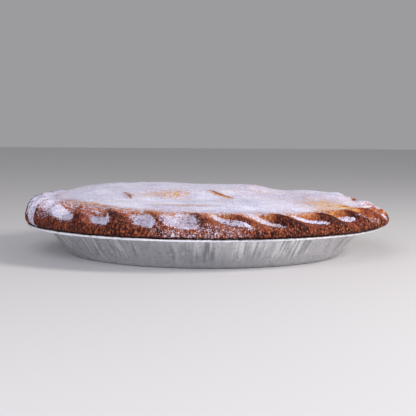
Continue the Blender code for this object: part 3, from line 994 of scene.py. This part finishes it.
def foil_material():
    """Pressed household foil: bright bare aluminium, with painted shade in the creases and painted light
    on their crests, and sugar on the bead.
    """
    material, tree, shader = new_material("pressed_aluminium_foil")
    place = add(tree, "ShaderNodeTexCoord").outputs["Object"]
    fold, dusty = [add(tree, "ShaderNodeAttribute", attribute_name=name).outputs["Fac"]
                   for name in ("fold", "dusty")]
    crinkle = mottling(tree, place, CRINKLE_SIZE, 4.0, 0.0, 1.0)
    # Painted shade: the pleats' valleys darken the foil's colour and their crests lighten it
    painted_crease_shade = add(tree, "ShaderNodeMapRange", {
        "Value": fold, "From Min": -0.5, "From Max": 0.5, "To Min": 0.0, "To Max": 0.85}).outputs[0]
    level = add(tree, "ShaderNodeMath", {0: crinkle, 1: 0.25, 2: painted_crease_shade},
                operation="MULTIPLY_ADD").outputs[0]
    tone = add(tree, "ShaderNodeMix", {"Factor": level, 6: srgb(FOIL_CREASE_SHADE), 7: srgb(FOIL_CREST_LIGHT)},
               data_type="RGBA")
    dust = add(tree, "ShaderNodeMath", {0: mottling(tree, place, DUST_SIZE, 3.0, 0.45, 1.1), 1: dusty},
               operation="MULTIPLY", use_clamp=True).outputs[0]
    dusted = add(tree, "ShaderNodeMix", {"Factor": dust, 6: tone.outputs[2], 7: srgb(FOIL_DUST)},
                 data_type="RGBA")
    tree.links.new(dusted.outputs[2], shader.inputs["Base Color"])
    bare = add(tree, "ShaderNodeMath", {0: 1.0, 1: dust}, operation="SUBTRACT").outputs[0]
    tree.links.new(bare, shader.inputs["Metallic"])
    rough = add(tree, "ShaderNodeMapRange", {
        "Value": crinkle, "To Min": 0.22, "To Max": 0.38}).outputs[0]
    tree.links.new(rough, shader.inputs["Roughness"])
    bump = add(tree, "ShaderNodeBump", {"Height": crinkle, "Strength": 0.5, "Distance": CRINKLE_BUMP})
    tree.links.new(bump.outputs[0], shader.inputs["Normal"])
    return material


def floor_material():
    """Plain pale matt table top."""
    material, _, shader = new_material("pale_matt_table")
    shader.inputs["Base Color"].default_value = srgb("#dedcdd")
    shader.inputs["Roughness"].default_value = 0.7
    return material


# Foil plate

PLEAT_PITCH = 1.7 * MM
PLEAT_DEPTH = 0.40 * MM
BUNDLE_SIZE = 12.0 * MM
DENT_DEPTH = 0.25 * MM
DENT_SIZE = 4 * MM
PLEAT_SKEW = (0.0, 0.0, 0.12)
PLEAT_SEED = 0.61
# Bend from the wall into the flange: how far below it begins and how far out it ends
BEND_DOWN = 0.5 * MM
BEND_OUT = 0.6 * MM
# Where the pleats lie up the wall, as shares of its height
PLEATS_START = (0.1, 0.55)
PLEATS_STOP = (0.9, 0.97)
# The bead's part of the rim, and where its sugar starts, in bead radii from the flange's level
BEAD_BEGINS = (PLATE_RIM_R - 1.6 * MM, PLATE_RIM_R - 0.8 * MM)
DUST_STARTS = (-1.1, -0.4)


def arc(centre_r, centre_z, radius, start, end, steps):
    """Points of an arc in the plate's section, angles in degrees from the outward direction."""
    angles = np.radians(np.linspace(start, end, steps + 1))
    return [(centre_r + radius * math.cos(a), centre_z + radius * math.sin(a)) for a in angles]


def straight(start, end, steps):
    """Points of a straight run of the section, its start left out."""
    return [(start[0] + (end[0] - start[0]) * i / steps, start[1] + (end[1] - start[1]) * i / steps)
            for i in range(1, steps + 1)]


def plate_section():
    """Section of the plate from under its base's centre, round the bead, to its base's centre again."""
    flange_z = PLATE_DEPTH - PLATE_SHEET
    bead_r = PLATE_RIM_R - BEAD_R
    inset = PLATE_SHEET
    corner = 0.3 * CORNER_R
    section = [(0.0, 0.0)]
    section += straight(section[-1], (wall_radius(0.0, 0.0) - CORNER_R, 0.0), 4)
    section.append((wall_radius(corner, 0.0) - corner, corner))
    section.append((wall_radius(CORNER_R, 0.0), CORNER_R))
    section += straight(section[-1], (wall_radius(flange_z - BEND_DOWN, 0.0), flange_z - BEND_DOWN), 15)
    section.append((wall_radius(flange_z, 0.0) + BEND_OUT, flange_z))
    bead = arc(bead_r, PLATE_DEPTH, BEAD_R, -150, 180, 11)
    section += straight(section[-1], bead[0], 4)
    section += bead[1:]
    section += straight(section[-1], (wall_radius(PLATE_DEPTH, inset), PLATE_DEPTH), 3)
    section.append((wall_radius(CORNER_R + inset, inset), CORNER_R + inset))
    section.append((wall_radius(inset, inset) - CORNER_R, inset))
    section += straight(section[-1], (0.0, inset), 2)
    return section


def pleat_tree():
    """Presses bundles of fine pleats into the wall and small dents into the bead."""
    tree, given = new_tree("pressed_pleats", (
        ("Pleat pitch", "Float"), ("Pleat depth", "Float"), ("Bundle size", "Float"),
        ("Dent depth", "Float"), ("Seed", "Float"), ("Material", "Material")))
    on_wall, on_bead = [
        add(tree, "GeometryNodeInputNamedAttribute", {"Name": name}, data_type="FLOAT").outputs[0]
        for name in ("on_wall", "on_bead")]

    # Place round the wall, the same all the way up but for a slight skew
    place = add(tree, "GeometryNodeInputPosition").outputs[0]
    flat = add(tree, "ShaderNodeVectorMath", {0: place, 1: (1.0, 1.0, 0.0)},
               operation="MULTIPLY").outputs[0]
    around = add(tree, "ShaderNodeVectorMath", {0: flat}, operation="NORMALIZE").outputs[0]
    ring = add(tree, "ShaderNodeVectorMath", {0: around, "Scale": WALL_TOP_R},
               operation="SCALE").outputs[0]
    rise = add(tree, "ShaderNodeVectorMath", {0: place, 1: PLEAT_SKEW},
               operation="MULTIPLY").outputs[0]
    skewed = add(tree, "ShaderNodeVectorMath", {0: ring, 1: rise}, operation="ADD").outputs[0]
    seeded = add(tree, "ShaderNodeVectorMath", {0: skewed, 1: given["Seed"]}, operation="ADD").outputs[0]

    folded = layer(tree, seeded, given["Pleat pitch"], (0.3, 0.7, -1.0, 1.0), {
        "Detail": 1.0, "Roughness": 0.5})
    strong = layer(tree, seeded, given["Bundle size"], (0.46, 0.62, 0.10, 1.0), {"Detail": 1.0})
    pleat = add(tree, "ShaderNodeMath", {0: folded, 1: strong}, operation="MULTIPLY").outputs[0]
    pleat_here = add(tree, "ShaderNodeMath", {0: pleat, 1: on_wall}, operation="MULTIPLY").outputs[0]
    pleat_out = add(tree, "ShaderNodeMath", {0: pleat_here, 1: given["Pleat depth"]},
                    operation="MULTIPLY").outputs[0]

    dents = add(tree, "ShaderNodeTexNoise", {"Vector": place, "Scale": 1 / DENT_SIZE, "Detail": 2.0})
    dent_level = add(tree, "ShaderNodeMapRange", {
        "Value": dents.outputs[0], "From Min": 0.3, "From Max": 0.7,
        "To Min": -1.0, "To Max": 0.3}).outputs[0]
    dent_here = add(tree, "ShaderNodeMath", {0: dent_level, 1: on_bead}, operation="MULTIPLY").outputs[0]
    amount = add(tree, "ShaderNodeMath", {0: dent_here, 1: given["Dent depth"], 2: pleat_out},
                 operation="MULTIPLY_ADD").outputs[0]
    normal = add(tree, "GeometryNodeInputNormal").outputs[0]
    offset = add(tree, "ShaderNodeVectorMath", {0: normal, "Scale": amount},
                 operation="SCALE").outputs[0]
    # The pleats' height, kept for the foil's painted crease shade
    marked = add(tree, "GeometryNodeStoreNamedAttribute", {
        "Geometry": given["Geometry"], "Name": "fold", "Value": pleat_here},
        data_type="FLOAT", domain="POINT")
    pressed = add(tree, "GeometryNodeSetPosition", {"Geometry": marked.outputs[0], "Offset": offset})
    end_tree(tree, pressed.outputs[0], given["Material"])
    return tree


def make_plate(material):
    """The foil plate: a turned sheet with pleats pressed into its wall."""
    section = plate_section()
    angles = np.arange(PLATE_COLUMNS) * math.tau / PLATE_COLUMNS
    rings = []
    shares = []
    for i, (radius, height) in enumerate(section):
        ring = np.array([[0.0, 0.0, height]]) if radius == 0.0 else at_angle(radius, angles, height)
        rings.append(ring)
        outer_wall = float(i < len(section) // 2 and radius > BASE_R)
        rise = height / PLATE_DEPTH
        wall = outer_wall * smooth(*PLEATS_START, rise) * (1 - smooth(*PLEATS_STOP, rise))
        bead = smooth(*BEAD_BEGINS, radius)
        dusty = bead * smooth(*DUST_STARTS, (height - PLATE_DEPTH) / BEAD_R)
        shares.append(np.tile([wall, bead, dusty], (len(ring), 1)))
    plate = closed_mesh("foil_plate_pressed", rings)
    for name, values in zip(("on_wall", "on_bead", "dusty"), np.concatenate(shares).T):
        set_attribute(plate, name, values)
    use_tree(plate, pleat_tree(), {
        "Pleat pitch": PLEAT_PITCH, "Pleat depth": PLEAT_DEPTH, "Bundle size": BUNDLE_SIZE,
        "Dent depth": DENT_DEPTH, "Seed": PLEAT_SEED, "Material": material})
    settle(plate)
    return plate


# Scattered sugar

GRAIN_R = 0.24 * MM
# Least and most size of a crystal in its three directions, and most crystals per square metre
GRAIN_LEAST = (0.5, 0.5, 0.4)
GRAIN_MOST = (1.5, 1.3, 1.1)
FULL_TURN = 6.283
GRAINS_ON_CRUST = 9.0e5
GRAINS_ON_FOIL = 3.0e4
CRUST_SEED = 3
FOIL_SEED = 5
# Share of the most grains: where sugar thins out on the edge and on the lid, in the spill, everywhere
FRINGE_ON_EDGE = 0.20
FRINGE_ON_LID = 0.10
FRINGE_SUGAR = 0.15
FEWER_RIGHT = (0.7, 0.35, 0.60)
SPILL_GRAINS = 0.6
SPILL_HALF = 0.22
SPILL_STARTS = (19.8 * MM, 21.0 * MM)
SPILL_STOPS = (25 * MM, 27 * MM)
SPRINKLED_UP = (0.03, -0.2, 0.3)
# Grains caught on the foil: angle of their middle, half their width, and their lowest and highest
CAUGHT_AT = 0.75
CAUGHT_HALF = 0.35
CAUGHT_FROM = 0.5 * MM
CAUGHT_TO = 6 * MM
OUTER_FACE_UP = 0.2


def grain_tree():
    """Scatters sugar crystals over a surface where its density attribute says, as real meshes."""
    tree, given = new_tree("sugar_scatter", (
        ("Most per square metre", "Float"), ("Grain radius", "Float"), ("Seed", "Int"),
        ("Material", "Material")))
    density = add(tree, "GeometryNodeInputNamedAttribute", {"Name": "grains"}, data_type="FLOAT")
    amount = add(tree, "ShaderNodeMath", {0: density.outputs[0], 1: given["Most per square metre"]},
                 operation="MULTIPLY").outputs[0]
    points = add(tree, "GeometryNodeDistributePointsOnFaces", {
        "Mesh": given["Geometry"], "Density": amount, "Seed": given["Seed"]}, distribute_method="RANDOM")
    crystal = add(tree, "GeometryNodeMeshIcoSphere", {
        "Radius": given["Grain radius"], "Subdivisions": 1})
    limits = (((0.0, 0.0, 0.0), (FULL_TURN, FULL_TURN, FULL_TURN)), (GRAIN_LEAST, GRAIN_MOST))
    turn, size = [
        add(tree, "FunctionNodeRandomValue", {0: least, 1: most, "Seed": given["Seed"]},
            data_type="FLOAT_VECTOR").outputs[0]
        for least, most in limits]
    grains = add(tree, "GeometryNodeInstanceOnPoints", {
        "Points": points.outputs["Points"], "Instance": crystal.outputs[0], "Rotation": turn,
        "Scale": size})
    end_tree(tree, grains.outputs[0], given["Material"])
    return tree


def scatter(name, surface, tree, density, most, seed, material):
    """Sugar crystals on a copy of a surface, as one mesh piece."""
    piece = bpy.data.objects.new(name, surface.data.copy())
    bpy.context.scene.collection.objects.link(piece)
    set_attribute(piece, "grains", density)
    use_tree(piece, tree, {
        "Most per square metre": most, "Grain radius": GRAIN_R, "Seed": seed, "Material": material})
    settle(piece)
    return piece


def crust_grain_density(crust):
    """Most grains where the sugar thins out, and a spill of them on the front of the edge."""
    sugar = point_values(crust, "sugar")
    x, y, z = point_places(crust)
    angle = np.arctan2(x, -y)
    edge = np.hypot(x, y) > LID_R
    fringe = 4 * np.maximum(sugar - FRINGE_SUGAR, 0.0) * (1 - sugar)
    spill = np.exp(-(angle / SPILL_HALF) ** 4) * smooth(*SPILL_STARTS, z) * (1 - smooth(*SPILL_STOPS, z))
    fewer_right = 1 - share_of(FEWER_RIGHT, angle)
    sprinkled = share_of(SPRINKLED_UP, upward(crust))
    on_edge = FRINGE_ON_EDGE * fringe * fewer_right + SPILL_GRAINS * spill + sprinkled
    return np.where(edge, on_edge, FRINGE_ON_LID * fringe) * (z > CRUST_FOOT_Z)


def foil_grain_density(plate):
    """A few grains caught on the wall low on the right."""
    x, y, z = point_places(plate)
    angle = np.arctan2(x, -y)
    low_outside = (z < CAUGHT_TO) * (z > CAUGHT_FROM) * (upward(plate) < OUTER_FACE_UP)
    return np.exp(-((angle - CAUGHT_AT) / CAUGHT_HALF) ** 2) * low_outside


def camera():
    """The photo's own camera."""
    data = bpy.data.cameras.new("photo_camera")
    data.lens = CAMERA_LENS
    data.sensor_width = CAMERA_SENSOR
    data.shift_x = CAMERA_SHIFT_X
    seen_from = bpy.data.objects.new("photo_camera", data)
    bpy.context.scene.collection.objects.link(seen_from)
    tilt = Matrix.Rotation(math.pi / 2 - CAMERA_DOWN, 4, "X") @ Matrix.Rotation(CAMERA_ROLL, 4, "Z")
    seen_from.matrix_world = Matrix.Translation(CAMERA_AT) @ tilt
    bpy.context.scene.camera = seen_from


# Lights in metres and watts: where each stands, its width, its power and its colour
LIGHTS = {
    "key": ((0.70, -0.36, 0.44), 0.26, 6.0, "#fffaf6"),
    "fill": ((-0.30, -0.95, 0.50), 0.8, 6.6, "#f4f6ff"),
}
LIT_AT = (0.0, 0.0, 0.02)
SURROUND = "#e6e6ea"
SURROUND_STRENGTH = 0.42
TABLE_WIDTH = 6.0


def softbox(name, at, size, watts, colour):
    """Square soft light at a place, facing the pie."""
    data = bpy.data.lights.new(name, "AREA")
    data.size = size
    data.energy = watts
    data.color = srgb(colour)[:3]
    lamp = bpy.data.objects.new(name, data)
    bpy.context.scene.collection.objects.link(lamp)
    lamp.location = at
    lamp.rotation_euler = (Vector(LIT_AT) - Vector(at)).to_track_quat("-Z", "Y").to_euler()


def stage():
    """Pale table top, soft key from the right, broad fill, and an even pale surround."""
    bpy.ops.mesh.primitive_plane_add(size=TABLE_WIDTH, location=(0.0, 0.0, 0.0))
    table = bpy.context.object
    table.name = "table_top"
    table.data.materials.append(floor_material())
    for name, settings in LIGHTS.items():
        softbox(name, *settings)
    world = bpy.data.worlds.new("studio")
    world.use_nodes = True
    background = world.node_tree.nodes["Background"]
    background.inputs["Color"].default_value = srgb(SURROUND)
    background.inputs["Strength"].default_value = SURROUND_STRENGTH
    bpy.context.scene.world = world
    bpy.context.scene.view_settings.view_transform = "Standard"


def main():
    """Pie, plate and sugar on their body, then the stage."""
    camera()
    crust = make_crust(crust_material())
    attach(crust, "root")
    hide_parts("pie")
    plate = make_plate(foil_material())
    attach(plate, "root")
    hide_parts("foil_plate")
    sugar = grain_material()
    tree = grain_tree()
    crust_grains = scatter(
        "sugar_on_crust", crust, tree, crust_grain_density(crust), GRAINS_ON_CRUST, CRUST_SEED, sugar)
    foil_grains = scatter(
        "sugar_on_foil", plate, tree, foil_grain_density(plate), GRAINS_ON_FOIL, FOIL_SEED, sugar)
    for grains in (crust_grains, foil_grains):
        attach(grains, "root")
    stage()


main()
